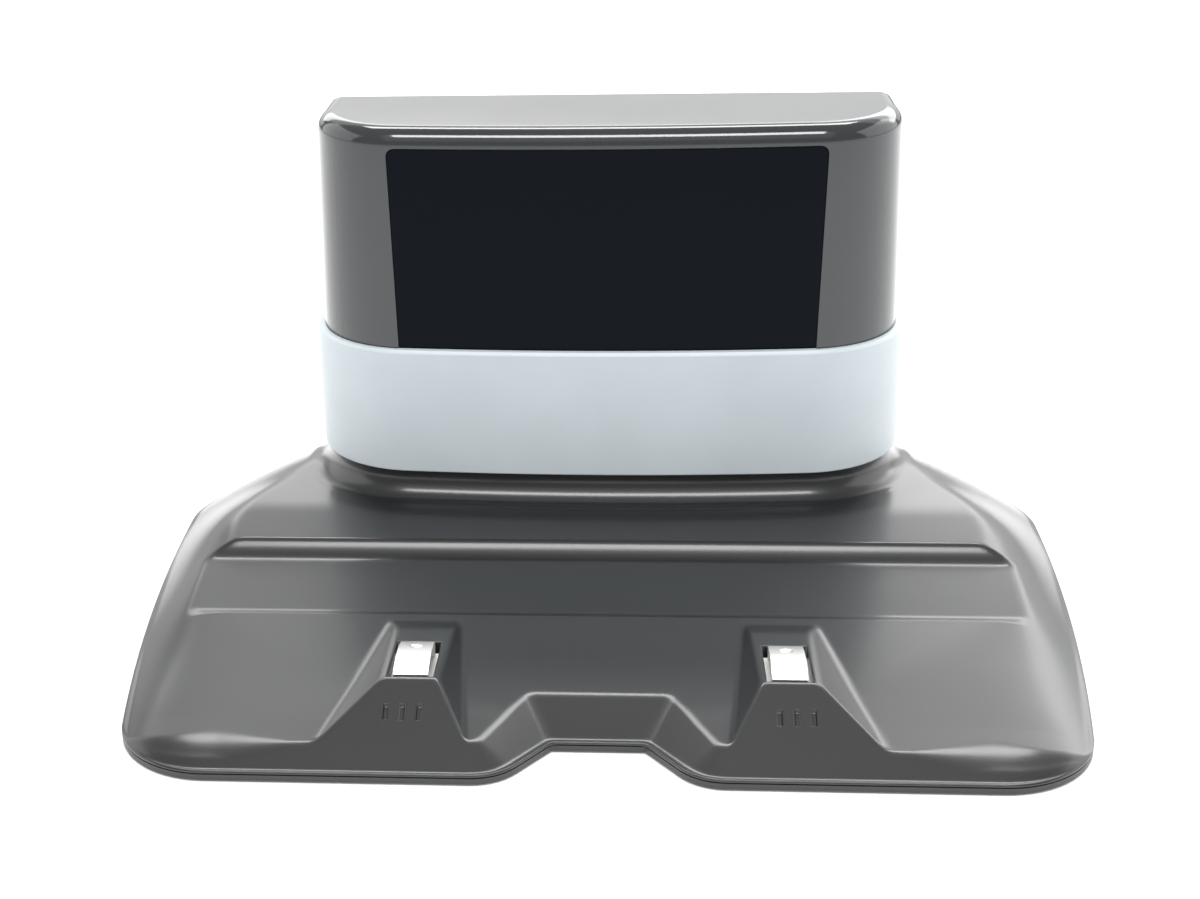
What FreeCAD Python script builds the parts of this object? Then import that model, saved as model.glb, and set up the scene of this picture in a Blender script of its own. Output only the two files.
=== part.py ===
import FreeCAD, Part
import math
import os

V = FreeCAD.Vector
os.makedirs("parts", exist_ok=True)

# Charging dock for a robot vacuum. Millimetres, X to the right, Y to the back, Z up.
# Depths are counted from the front edge of the base; the origin lies under the middle.

# Overall sizes
WIDTH = 280.0
DEPTH = 187.0
HEIGHT = 139.0

# Base plan: straight front edge, rounded corners, sides that flare gently to the back
FRONT_IN = 38.0
FRONT_HALF = WIDTH / 2 - FRONT_IN
FRONT_CORNER_R = 27.5
BACK_CORNER_R = 33.0

# Base heights
PLATE_BOTTOM_Z = 0.6
COVER_Z = 2.6
GROOVE_H = 0.4
GROOVE_D = 0.8
WALL = 2.2
SIDE_WALL = 2.4

# Sloping floors of the base
BEVEL_SLOPE = 0.545
BEVEL_RUN = 14.0
FLOOR_Z0 = 7.3
FLOOR_SLOPE = 0.069
TROUGH_FRONT = 0.377 * DEPTH
TROUGH_BACK = 0.577 * DEPTH
TROUGH_FRONT_DROP = 1.7
TROUGH_RISE = 3.5
TROUGH_FRONT_FILLET = 4.4
TROUGH_FILLET = 4.0
STEP_RUN = 4.0
UPPER_Z = 20.3
UPPER_FRONT_DROP = 2.1
UPPER_FLAT = 0.684 * DEPTH
UPPER_IN = 26.0
UPPER_HALF = WIDTH / 2 - UPPER_IN
FRONT_FLOOR_IN = 5.0
FRONT_FLOOR_HALF = FRONT_HALF - FRONT_FLOOR_IN
SKIRT_RUN = 21.0
LIP = 14.0
EDGE_ROUND = 0.6

# Front notch
NOTCH_DEPTH = 16.7
NOTCH_BACK_HALF = 12.3
NOTCH_MOUTH_HALF = 25.4
NOTCH_MOUTH_R = 15.0
NOTCH_BEVEL_RATIO = 1.15

# Contact mounds, slots and grooves
MOUND_X = 50.4
MOUND_FOOT_FRONT = (FLOOR_Z0 - COVER_Z) / (BEVEL_SLOPE - FLOOR_SLOPE)
MOUND_FOOT_BACK = 0.353 * DEPTH
MOUND_FOOT_FRONT_IN = 15.7
MOUND_FOOT_FRONT_OUT = 21.9
MOUND_FOOT_BACK_HALF = 10.4
LEDGE_D = 26.0
LEDGE_Z = COVER_Z + BEVEL_SLOPE * LEDGE_D
LEDGE_HALF = 7.5
MOUND_TOP_BACK = 0.321 * DEPTH
MOUND_TOP_BACK_RISE = 2.6
MOUND_ROUND = 1.2
SLOT_FRONT = 26.9
SLOT_BACK = 49.3
SLOT_HALF = 6.1
RIB_COUNT = 3
RIB_PITCH = 4.4
RIB_W = 1.3
RIB_L = 4.7
RIB_DEEP = 0.7
RIB_D = 16.8
RIB_X = 51.5

# Tower plan and heights
TOWER_BOW_R = 780.0
BAND_HALF = 95.0
BAND_FRONT = 0.71 * DEPTH
BAND_CORNER_R = 34.5
BAND_Z0 = 29.2
BAND_Z1 = 70.0
BAND_T = 3.0
BAND_CHAMFER = 0.9
NECK_IN = 1.7
NECK_Z = 27.2
BELL_OUT = 3.2
BELL_DROP = 4.5
SHELL_IN = 2.2
SHELL_DRAFT_SIDE = 1.7
SHELL_DRAFT_FRONT = 1.8
SHELL_T = 2.4
TOP_FILLET = 5.2

# Window
WINDOW_HALF0 = 64.5
WINDOW_HALF1 = 66.0
WINDOW_TOP = HEIGHT - 6.4
WINDOW_T = 1.8
WINDOW_SET = 0.5
WINDOW_GAP = 0.15
WINDOW_CORNER_R = 2.5
WINDOW_LIP = 4.0

# Contacts, springs and holders
CONTACT_HALF = 4.7
CONTACT_T = 0.7
CONTACT_FRONT = 27.8
CONTACT_BACK = 46.0
CONTACT_END_Z = 16.6
CONTACT_CROWN = 1.7
FLANGE_HALF = 6.9
FLANGE_CLEAR = 0.3
FLANGE_END = 0.6
FLANGE_T = 0.9
HOLDER_WALL = 1.3
HOLDER_GAP = 0.4
HOLDER_TOP_Z = 10.4
HOLDER_FLOOR = 1.2
SPRING_R = 2.8
SPRING_WIRE = 0.6
SPRING_TURNS = 4.0

# Rubber feet and screws
FOOT_R = 8.0
FOOT_IN = 36.0
FOOT_X = WIDTH / 2 - FOOT_IN
FOOT_FRONT = 30.0
FOOT_REAR_IN = 27.0
FOOT_REAR = DEPTH - FOOT_REAR_IN
FOOT_SINK = 1.0
SCREW_R = 1.5
HEAD_R = 3.0
HEAD_H = 1.1
HOLE_GAP = 0.2
RECESS_W = 0.6
RECESS_L = 3.4
RECESS_DEEP = 0.5
BOSS_R = 4.2
BASE_SCREW_IN = 54.0
BASE_SCREW_X = WIDTH / 2 - BASE_SCREW_IN
BASE_SCREW_FRONT = 48.0
BASE_SCREW_REAR = BAND_FRONT - 8.0
BASE_SCREW_L = 7.0
REAR_SCREW_L = 9.0
SIGNAL_SCREW_L = 7.0
MAIN_SCREW_L = 6.0

# Boards and emitters
MAIN_HALF = 46.0
MAIN_DEEP = 36.0
MAIN_BACK = DEPTH - 9.0
MAIN_FRONT = MAIN_BACK - MAIN_DEEP
MAIN_Z = 8.4
BOARD_T = 1.6
POST_R = 3.6
POST_INSET = 6.0
POST_BACK_INSET = 9.0
JACK_X = 0.0
JACK_HALF = 4.6
JACK_L = 13.0
JACK_H = 10.8
JACK_BORE_R = 3.2
JACK_BORE_L = 9.5
JACK_PIN_R = 1.0
SIGNAL_D = BAND_FRONT + 19.0
SIGNAL_HALF = 56.0
SIGNAL_Z0 = BAND_Z1 + 8.6
SIGNAL_Z1 = HEIGHT - 12.0
EMITTER_R = 2.5
EMITTER_PITCH = 30.0
EMITTER_L = 8.6
HOOD_HALF = 42.0
HOOD_HALF_H = 0.26 * (SIGNAL_Z1 - SIGNAL_Z0)
HOOD_L = 8.0
REAR_T = 2.5
REAR_GAP = 0.3
LEAD_R = 0.9
LEAD_END_X = MAIN_HALF - 14.0
LEAD_TURN = MAIN_FRONT - 22.0
LEAD_UNDER = MAIN_FRONT - 4.0
LEAD_END = MAIN_FRONT + 9.0
LAMP_HALF = 1.6
LAMP_RISE = 3.0
LINK_HALF = 9.0
LINK_T = 0.6
LINK_D = SIGNAL_D + 11.0
LINK_RISE = 12.0
SOCKET_L = 5.0
SOCKET_HALF = LINK_HALF + 2.0
SOCKET_HALF_T = 3.0


def at(x, d, z):
    """Point from x, depth behind the front edge and height."""
    return V(x, d - DEPTH / 2, z)


def line(a, b):
    return Part.LineSegment(a, b).toShape()


def arc(a, m, b):
    return Part.Arc(a, m, b).toShape()


def polygon(points):
    return Part.Face(Part.makePolygon(points + points[:1]))


def across(points, half):
    """Prism along X from a closed depth and height profile."""
    face = polygon([at(-half, d, z) for d, z in points])
    return face.extrude(V(2 * half, 0, 0))


def cylinder(radius, height, x, d, z, axis=V(0, 0, 1)):
    return Part.makeCylinder(radius, height, at(x, d, z), axis)


def block(x0, x1, d0, d1, z0, z1):
    return Part.makeBox(x1 - x0, d1 - d0, z1 - z0, at(x0, d0, z0))


def mirrored(shape):
    return shape.mirror(V(0, 0, 0), V(1, 0, 0))


def solid_of(shape):
    """The largest solid of a result, cleaned of split faces."""
    best = max(shape.Solids, key=lambda s: s.Volume)
    return best.removeSplitter()


def save(shape, node):
    shape.exportStep("parts/" + node + ".step")


def save_group(shapes, node):
    save(Part.makeCompound(list(shapes)), node)


# Side line of the base: one arc tangent to the front corner and to the back corner
def side_arc():
    back = DEPTH - BACK_CORNER_R
    low = 0.02
    high = 0.8
    for _ in range(60):
        a = (low + high) / 2
        r = (back - FRONT_CORNER_R * (1 - math.sin(a))) / math.sin(a)
        gap = WIDTH / 2 - r * (1 - math.cos(a)) - FRONT_HALF - FRONT_CORNER_R * math.cos(a)
        if gap > 0:
            low = a
        else:
            high = a
    return a, r


SIDE_ANGLE, SIDE_R = side_arc()


def edge_half(d):
    """Half width of the base at a depth, on the side arc."""
    back = DEPTH - BACK_CORNER_R
    d = min(d, back)
    return WIDTH / 2 - SIDE_R + math.sqrt(SIDE_R ** 2 - (back - d) ** 2)


def back_half(d):
    """Half width of the base at a depth, drawn in round the back corner and kept clear of its end."""
    into = max(0.0, d - (DEPTH - BACK_CORNER_R)) / BACK_CORNER_R
    return edge_half(d) - BACK_CORNER_R * (1 - math.sqrt(1 - min(into, 0.93) ** 2))


def outline(z, bevel, inset):
    """Plan line of the base; bevel draws in the front and the notch, inset the sides and back."""
    back = DEPTH - BACK_CORNER_R
    length = math.hypot(NOTCH_MOUTH_HALF - NOTCH_BACK_HALF, NOTCH_DEPTH)
    ux = (NOTCH_MOUTH_HALF - NOTCH_BACK_HALF) / length
    ud = -NOTCH_DEPTH / length
    nx, nd = -ud, ux
    back_in = bevel * NOTCH_BEVEL_RATIO
    px, pd = NOTCH_BACK_HALF + back_in * nx, NOTCH_DEPTH + back_in * nd
    s = (NOTCH_DEPTH + back_in - pd) / ud
    inner = (px + s * ux, pd + s * ud)
    s = (bevel - pd) / ud
    mouth = (px + s * ux, pd + s * ud)
    r = NOTCH_MOUTH_R - bevel
    t = r * math.tan(math.acos(ux) / 2)
    m0 = (mouth[0] - t * ux, mouth[1] - t * ud)
    m2 = (mouth[0] + t, bevel)
    c = (m2[0], bevel + r)
    k = r / math.hypot(mouth[0] - c[0], mouth[1] - c[1])
    m1 = (c[0] + k * (mouth[0] - c[0]), c[1] + k * (mouth[1] - c[1]))
    a = SIDE_ANGLE
    corner0 = (FRONT_HALF, bevel)
    half_turn = math.pi / 4 + a / 2
    q = FRONT_CORNER_R - (bevel + inset) / 2
    corner1 = (FRONT_HALF + q * math.cos(half_turn), FRONT_CORNER_R - q * math.sin(half_turn))
    q = FRONT_CORNER_R - inset
    corner2 = (FRONT_HALF + q * math.cos(a), FRONT_CORNER_R - q * math.sin(a))
    q = SIDE_R - inset
    side1 = (WIDTH / 2 - SIDE_R + q * math.cos(a / 2), back - q * math.sin(a / 2))
    side2 = (WIDTH / 2 - inset, back)
    q = (BACK_CORNER_R - inset) * math.sqrt(0.5)
    rear1 = (WIDTH / 2 - BACK_CORNER_R + q, back + q)
    rear2 = (WIDTH / 2 - BACK_CORNER_R, DEPTH - inset)
    runs = [(inner, m0), (m0, m1, m2), (m2, corner0), (corner0, corner1, corner2),
            (corner2, side1, side2), (side2, rear1, rear2)]
    edges = [line(at(-inner[0], inner[1], z), at(inner[0], inner[1], z))]
    for run in runs:
        pts = [at(x, d, z) for x, d in run]
        edges.append(line(*pts) if len(pts) == 2 else arc(*pts))
    edges.append(line(at(rear2[0], rear2[1], z), at(-rear2[0], rear2[1], z)))
    for run in reversed(runs):
        pts = [at(-x, d, z) for x, d in reversed(run)]
        edges.append(line(*pts) if len(pts) == 2 else arc(*pts))
    return Part.Wire(edges)


def slab(wire, height):
    return Part.Face(wire).extrude(V(0, 0, height))


def floor_z(d):
    """Height of the front floor."""
    return FLOOR_Z0 + FLOOR_SLOPE * d


def skirt_edge(start, meet, z0, z1, steep, flat):
    """Convex edge of a cross section, from the rim up to the floor."""
    run = start - meet
    mean = (z1 - z0) / run
    return [(start, z0),
            (start - 0.36 * run, z0 + 0.36 * run * mean * steep),
            (meet + 0.36 * run, z1 - 0.36 * run * mean * flat),
            (meet, z1)]


def section(d, start, meet, z1, steep, flat, lip):
    """Closed cross section of the base at one depth; lip carries the skirt on past the floor."""
    pts = skirt_edge(start, meet, COVER_Z, z1, steep, flat)
    rise = lip * flat * (z1 - COVER_Z) / (start - meet)
    edges = [line(at(-start, d, COVER_Z), at(start, d, COVER_Z))]
    right = Part.BezierCurve()
    right.setPoles([at(x, d, z) for x, z in pts])
    left = Part.BezierCurve()
    left.setPoles([at(-x, d, z) for x, z in reversed(pts)])
    edges.append(right.toShape())
    top = (meet, z1)
    if lip > 0:
        top = (meet - lip, z1 + rise)
        edges.append(line(at(meet, d, z1), at(top[0], d, top[1])))
    edges.append(line(at(top[0], d, top[1]), at(-top[0], d, top[1])))
    if lip > 0:
        edges.append(line(at(-top[0], d, top[1]), at(-meet, d, z1)))
    edges.append(left.toShape())
    return Part.Wire(edges)


def floor_meet():
    """Half width of the floor at the trough."""
    return edge_half(TROUGH_FRONT) - SKIRT_RUN


def along_x(edge, d, z):
    """True for an edge across the base at that depth and height."""
    box = edge.BoundBox
    y = d - DEPTH / 2
    near = abs(box.YMin - y) + abs(box.YMax - y) + abs(box.ZMin - z) + abs(box.ZMax - z)
    return box.XLength > WIDTH / 4 and near < 0.01


def skirted_body():
    """Loft of the whole base: side skirts that swell from the front corners to the back corners."""
    top = UPPER_Z
    front = FRONT_FLOOR_HALF
    lean = floor_meet() - front
    full = UPPER_HALF
    stations = [(-0.02, front, 0, 2.6, 0.15),
                (0.085, front + 0.06 * lean, 0, 2.4, 0.15),
                (0.235, front + 0.5 * lean, 0, 1.7, 0.3),
                (TROUGH_FRONT / DEPTH, floor_meet(), 0, 1.4, 0.4),
                (TROUGH_BACK / DEPTH, full - 0.5, top - UPPER_FRONT_DROP, 1.3, 0.45),
                (0.678, full, top, 1.3, 0.45),
                (0.733, full - 3, top + 0.3, 1.4, 0.45),
                (0.802, full - 10, top + 0.5, 1.45, 0.45),
                (0.882, full - 16, top + 0.5, 1.4, 0.45),
                (0.952, full - 20, top - 0.5, 1.3, 0.45),
                (1.005, full - 22, top - 2, 1.3, 0.45)]
    wires = []
    for share, meet, z, steep, flat in stations:
        d = share * DEPTH
        wires.append(section(d, back_half(d), meet, z or floor_z(d), steep, flat, LIP))
    return Part.makeLoft(wires, True, False)


def floors():
    """Side view of the floors, drawn across: ramp, trough with rounded ends of its bottom, upper floor."""
    edge = floor_z(TROUGH_FRONT)
    front = edge - TROUGH_FRONT_DROP
    low = front + TROUGH_RISE
    high = UPPER_Z - UPPER_FRONT_DROP
    dip = TROUGH_FRONT + TROUGH_FRONT_DROP
    step = TROUGH_BACK - STEP_RUN
    profile = [(-6, 0), (-6, floor_z(-6)), (TROUGH_FRONT, edge), (dip, front), (step, low),
               (TROUGH_BACK, high), (UPPER_FLAT, UPPER_Z), (DEPTH + 5, UPPER_Z), (DEPTH + 5, 0)]
    block_of = across(profile, WIDTH / 2 + 10)
    rounds = ((dip, front, TROUGH_FRONT_FILLET), (step, low, TROUGH_FILLET), (TROUGH_BACK, high, EDGE_ROUND))
    for d, z, r in rounds:
        block_of = block_of.makeFillet(r, [e for e in block_of.Edges if along_x(e, d, z)])
    return block_of


def mound():
    """Sloping block that lifts one contact; front face runs on from the bevel."""
    sink = 1.2
    front = MOUND_FOOT_FRONT - sink
    front_z = COVER_Z + BEVEL_SLOPE * front
    k = sink / (LEDGE_D - MOUND_FOOT_FRONT)
    inner = MOUND_X - MOUND_FOOT_FRONT_IN - k * (MOUND_FOOT_FRONT_IN - LEDGE_HALF)
    outer = MOUND_X + MOUND_FOOT_FRONT_OUT + k * (MOUND_FOOT_FRONT_OUT - LEDGE_HALF)
    back_low = floor_z(MOUND_FOOT_BACK) - sink
    foot = [(inner, front, front_z), (outer, front, front_z),
            (MOUND_X + MOUND_FOOT_BACK_HALF, MOUND_FOOT_BACK, back_low),
            (MOUND_X - MOUND_FOOT_BACK_HALF, MOUND_FOOT_BACK, back_low)]
    low = Part.makePolygon([at(*p) for p in foot + foot[:1]])
    back_z = floor_z(MOUND_TOP_BACK) + MOUND_TOP_BACK_RISE
    top = [(MOUND_X - LEDGE_HALF, LEDGE_D, LEDGE_Z), (MOUND_X + LEDGE_HALF, LEDGE_D, LEDGE_Z),
           (MOUND_X + LEDGE_HALF - 1, MOUND_TOP_BACK, back_z),
           (MOUND_X - LEDGE_HALF + 1, MOUND_TOP_BACK, back_z)]
    high = Part.makePolygon([at(*p) for p in top + top[:1]])
    hill = Part.makeLoft([low, high], True, True)
    floor = LEDGE_Z / 2
    return hill.makeFillet(MOUND_ROUND, [e for e in hill.Edges if e.BoundBox.ZMax > floor + sink])


def mound_top(d):
    back_z = floor_z(MOUND_TOP_BACK) + MOUND_TOP_BACK_RISE
    return LEDGE_Z + (d - LEDGE_D) * (back_z - LEDGE_Z) / (MOUND_TOP_BACK - LEDGE_D)


def plan(z, out, half, front, back, corner):
    """Plan line of the tower grown by out: bowed front, round front corners, square back."""
    bow = TOWER_BOW_R + out
    r = corner + out
    h = half + out
    f = front - out
    reach = math.sqrt((bow - r) ** 2 - (h - r) ** 2)
    cy = f + bow - reach
    tx = (h - r) * bow / (bow - r)
    td = f + bow - reach * bow / (bow - r)
    mid = math.atan2(h - r, reach)
    a = (math.pi / 2 + mid) / 2
    cx = h - r
    m = (cx + r * math.sin(a), cy - r * math.cos(a))
    edges = [arc(at(-tx, td, z), at(0, f, z), at(tx, td, z)),
             arc(at(tx, td, z), at(m[0], m[1], z), at(h, cy, z)),
             line(at(h, cy, z), at(h, back, z)),
             line(at(h, back, z), at(-h, back, z)),
             line(at(-h, back, z), at(-h, cy, z)),
             arc(at(-h, cy, z), at(-m[0], m[1], z), at(-tx, td, z))]
    return Part.Wire(edges)


def band_plan(z, out, back=DEPTH):
    return plan(z, out, BAND_HALF, BAND_FRONT, back, BAND_CORNER_R)


def shell_plan(z, out, back=DEPTH):
    """Plan of the shell at a height; the draft leans sides and front inwards."""
    k = (z - BAND_Z1) / (HEIGHT - BAND_Z1)
    return plan(z, out - SHELL_IN, BAND_HALF - SHELL_DRAFT_SIDE * k,
                BAND_FRONT + SHELL_DRAFT_FRONT * k, back, BAND_CORNER_R - 2 * k)


# Foot of the tower: concave flare that grows from the neck onto the upper floor
def pedestal():
    r = NECK_Z - UPPER_Z
    out = r - NECK_IN
    wires = [band_plan(UPPER_Z - 1.5, out + 0.6)]
    for i in range(5):
        a = math.pi / 2 * (4 - i) / 4
        wires.append(band_plan(NECK_Z - r * math.sin(a), r * (1 - math.cos(a)) - NECK_IN))
    flare = Part.makeLoft(wires, True, False)
    rings = [band_plan(COVER_Z + 2, out + 2.2 * BELL_OUT),
             band_plan(UPPER_Z - BELL_DROP, out + BELL_OUT),
             band_plan(UPPER_Z - 0.2, out + 0.1)]
    bell = Part.makeLoft(rings, True, True)
    neck = slab(band_plan(NECK_Z, -NECK_IN), BAND_Z0 - NECK_Z)
    return flare.fuse(bell), neck


# Moulded base cover: one shell with floors, trough, notch, mounds, skirts and tower foot
def base_cover():
    top_z = COVER_Z + BEVEL_RUN * BEVEL_SLOPE
    bevelled = Part.makeLoft([outline(COVER_Z, 0, 0), outline(top_z, BEVEL_RUN, 0)], True, True)
    upright = slab(outline(top_z, BEVEL_RUN, 0), 30)
    form = bevelled.fuse(upright)
    body = skirted_body().common(floors()).common(form)
    hill = mound()
    for m in (hill, mirrored(hill)):
        body = body.fuse(m)
    body = solid_of(body)
    hollow = body.copy()
    hollow.translate(V(0, 0, -WALL))
    room = slab(outline(COVER_Z - 1, SIDE_WALL, SIDE_WALL), HEIGHT)
    hollow = hollow.common(room)
    flare, neck = pedestal()
    cover = body.fuse(flare).fuse(neck)
    cover = cover.cut(hollow)
    shaft = slab(band_plan(UPPER_Z - 9, -NECK_IN - SIDE_WALL, DEPTH - SIDE_WALL), 30)
    cover = cover.cut(shaft)
    for sx in (-1, 1):
        for d in (BASE_SCREW_FRONT, BASE_SCREW_REAR):
            top = floor_z(d) if d < TROUGH_FRONT else UPPER_Z
            boss = cylinder(BOSS_R, top - COVER_Z - WALL / 2, sx * BASE_SCREW_X, d, COVER_Z)
            cover = cover.fuse(boss)
            cover = cover.cut(cylinder(SCREW_R, BASE_SCREW_L, sx * BASE_SCREW_X, d, PLATE_BOTTOM_Z + HEAD_H))
    for sx in (-1, 1):
        x = sx * MOUND_X
        cover = cover.cut(block(x - SLOT_HALF, x + SLOT_HALF, SLOT_FRONT, SLOT_BACK, COVER_Z, 30))
        for i in range(RIB_COUNT):
            rx = sx * RIB_X + (i - (RIB_COUNT - 1) / 2) * RIB_PITCH
            slope = (LEDGE_Z - floor_z(MOUND_FOOT_FRONT)) / (LEDGE_D - MOUND_FOOT_FRONT)
            z = floor_z(MOUND_FOOT_FRONT) + (RIB_D - MOUND_FOOT_FRONT) * slope
            rib = Part.makeBox(RIB_W, RIB_L, 2 * RIB_DEEP, V(-RIB_W / 2, -RIB_L / 2, -RIB_DEEP))
            rib.rotate(V(0, 0, 0), V(1, 0, 0), math.degrees(math.atan(slope)))
            rib.translate(at(rx, RIB_D, z))
            cover = cover.cut(rib)
    jack = cylinder(JACK_HALF + 0.2, SIDE_WALL + 3, JACK_X, DEPTH - SIDE_WALL - 2, jack_z(), V(0, 1, 0))
    return solid_of(cover.cut(jack))


def jack_z():
    return MAIN_Z + BOARD_T + JACK_H / 2


# Bottom plate: closes the base, carries the feet and the board posts
def board_posts():
    for x in (-MAIN_HALF + POST_INSET, MAIN_HALF - POST_INSET):
        for d in (MAIN_FRONT + POST_INSET, MAIN_BACK - POST_BACK_INSET):
            yield x, d


def screw_places():
    for x in (-BASE_SCREW_X, BASE_SCREW_X):
        for d in (BASE_SCREW_FRONT, BASE_SCREW_REAR):
            yield x, d


def foot_places():
    for side, x in (("left", -FOOT_X), ("right", FOOT_X)):
        for end, d in (("front", FOOT_FRONT), ("rear", FOOT_REAR)):
            yield end + "_" + side, x, d


def base_plate():
    plate = slab(outline(PLATE_BOTTOM_Z, 0, 0), COVER_Z - GROOVE_H - PLATE_BOTTOM_Z)
    land = slab(outline(COVER_Z - GROOVE_H, GROOVE_D, GROOVE_D), GROOVE_H)
    plate = plate.fuse(land)
    for x, d in board_posts():
        plate = plate.fuse(cylinder(POST_R, MAIN_Z - COVER_Z, x, d, COVER_Z))
        plate = plate.cut(cylinder(SCREW_R, MAIN_Z, x, d, COVER_Z - 0.6))
    for x, d in screw_places():
        plate = plate.cut(cylinder(HEAD_R + HOLE_GAP, HEAD_H, x, d, PLATE_BOTTOM_Z))
        plate = plate.cut(cylinder(SCREW_R + HOLE_GAP, COVER_Z, x, d, PLATE_BOTTOM_Z))
    for name, x, d in foot_places():
        plate = plate.cut(cylinder(FOOT_R, FOOT_SINK, x, d, PLATE_BOTTOM_Z))
    return solid_of(plate)


# Pan-head screw pointing along an axis, seat under the head at the given point
def screw(x, d, z, axis, length):
    shank = cylinder(SCREW_R, length, x, d, z, axis)
    back = V(-axis.x, -axis.y, -axis.z)
    head = cylinder(HEAD_R, HEAD_H, x, d, z, back)
    tip = at(x, d, z) + back * (HEAD_H - RECESS_DEEP)
    flat = V(axis.z, axis.x, axis.y)
    across_flat = axis.cross(flat)
    slots = []
    for a, b in ((flat, across_flat), (across_flat, flat)):
        corner = tip - a * (RECESS_L / 2) - b * (RECESS_W / 2)
        run = a * RECESS_L
        wide = b * RECESS_W
        edge = Part.makePolygon([corner, corner + run, corner + run + wide, corner + wide, corner])
        slots.append(Part.Face(edge).extrude(back * HEAD_H))
    return solid_of(shank.fuse(head).cut(slots[0]).cut(slots[1]))


# Grey trim band: drafted strip around the front and both sides of the tower
def trim_band():
    outer = slab(band_plan(BAND_Z0, 0), BAND_Z1 - BAND_Z0)
    rim = []
    for e in outer.Edges:
        box = e.BoundBox
        if box.ZMin > BAND_Z1 - 0.01 and box.YMin < DEPTH / 2 - 0.01:
            rim.append(e)
    outer = outer.makeChamfer(BAND_CHAMFER, rim)
    inner = slab(band_plan(BAND_Z0 - 1, -BAND_T, DEPTH + 5), BAND_Z1 - BAND_Z0 + 2)
    return solid_of(outer.cut(inner))


# Tower shell: drafted cap with a filleted top, open to the back and below
def shell_form(out, z0, z1, back):
    return Part.makeLoft([shell_plan(z0, out, back), shell_plan(z1, out, back)], True, True)


def window_form(grow, lip):
    """Drafted window outline run through the front of the tower."""
    h0 = WINDOW_HALF0 + grow - lip
    h1 = WINDOW_HALF1 + grow - lip
    z0 = BAND_Z1 + lip
    z1 = WINDOW_TOP + grow - lip
    d = BAND_FRONT - SHELL_T
    run = DEPTH - REAR_T - BAND_FRONT
    form = polygon([at(-h0, d, z0), at(h0, d, z0), at(h1, d, z1), at(-h1, d, z1)]).extrude(V(0, run, 0))
    rims = [e for e in form.Edges if e.BoundBox.YLength > run / 2 and e.BoundBox.ZMin > z1 - 1]
    return form.makeFillet(WINDOW_CORNER_R, rims)


def window_seat():
    """Inner face that the pane and the shell share behind the window."""
    return shell_form(-WINDOW_T, BAND_Z1 - 1, HEIGHT - WINDOW_T, DEPTH + 5)


def rear_boss_places():
    for x in (-1, 1):
        for z in (BAND_Z1 + 14, HEIGHT - 16):
            yield x, z


def shell_inner_half(z):
    k = (z - BAND_Z1) / (HEIGHT - BAND_Z1)
    return BAND_HALF - SHELL_IN - SHELL_T - SHELL_DRAFT_SIDE * k


def boss_x(z):
    return shell_inner_half(z) - BOSS_R


def tower_shell():
    outer = shell_form(0, BAND_Z1, HEIGHT, DEPTH)
    rim = [e for e in outer.Edges if e.BoundBox.ZMin > HEIGHT - 0.01 and e.BoundBox.YMin < DEPTH / 2 - 0.01]
    outer = outer.makeFillet(TOP_FILLET, rim)
    inner = shell_form(-SHELL_T, BAND_Z1 - 1, HEIGHT - SHELL_T, DEPTH + 5)
    shell = outer.cut(inner)
    shell = shell.cut(window_form(WINDOW_GAP, 0).cut(window_seat()))
    shell = shell.cut(window_form(0, WINDOW_LIP))
    for s, z in rear_boss_places():
        x = boss_x(z)
        post = cylinder(BOSS_R, 12, s * x, DEPTH - REAR_T - 12, z, V(0, 1, 0))
        web = block(min(s * x, s * (x + 6)), max(s * x, s * (x + 6)), DEPTH - REAR_T - 12, DEPTH - REAR_T,
                    z - 2, z + 2)
        shell = shell.fuse(post.fuse(web).common(outer))
        shell = shell.cut(cylinder(SCREW_R, 10, s * x, DEPTH - REAR_T - 9, z, V(0, 1, 0)))
    return solid_of(shell)


# Infrared-pass window: bowed pane set flush into the front of the shell
def ir_window():
    face = shell_form(-WINDOW_SET, BAND_Z1, HEIGHT, DEPTH)
    return solid_of(window_form(0, 0).common(face).cut(window_seat()))


# Rear cover: flat panel with four screw holes and long posts for the signal board
def signal_posts():
    for x in (-SIGNAL_HALF + POST_INSET, SIGNAL_HALF - POST_INSET):
        for z in (SIGNAL_Z0 + POST_INSET, SIGNAL_Z1 - POST_INSET):
            yield x, z


def rear_cover():
    d = DEPTH - REAR_T
    z1 = HEIGHT - SHELL_T - REAR_GAP
    hb = BAND_HALF - BAND_T - REAR_GAP
    h0 = shell_inner_half(BAND_Z1) - REAR_GAP
    h1 = shell_inner_half(z1) - REAR_GAP
    pts = [(-hb, BAND_Z0), (hb, BAND_Z0), (hb, BAND_Z1 - 2), (h0, BAND_Z1),
           (h1, z1), (-h1, z1), (-h0, BAND_Z1), (-hb, BAND_Z1 - 2)]
    panel = polygon([at(x, d, z) for x, z in pts]).extrude(V(0, REAR_T, 0))
    for s, z in rear_boss_places():
        x = s * boss_x(z)
        panel = panel.cut(cylinder(SCREW_R + HOLE_GAP, 3 * REAR_T, x, d - REAR_T, z, V(0, 1, 0)))
        panel = panel.cut(cylinder(HEAD_R + HOLE_GAP, HEAD_H, x, DEPTH - HEAD_H, z, V(0, 1, 0)))
    start = SIGNAL_D + BOARD_T
    for x, z in signal_posts():
        panel = panel.fuse(cylinder(POST_R, d - start, x, start, z, V(0, 1, 0)))
        panel = panel.cut(cylinder(SCREW_R, SIGNAL_SCREW_L, x, start, z, V(0, 1, 0)))
    return solid_of(panel)


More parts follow.
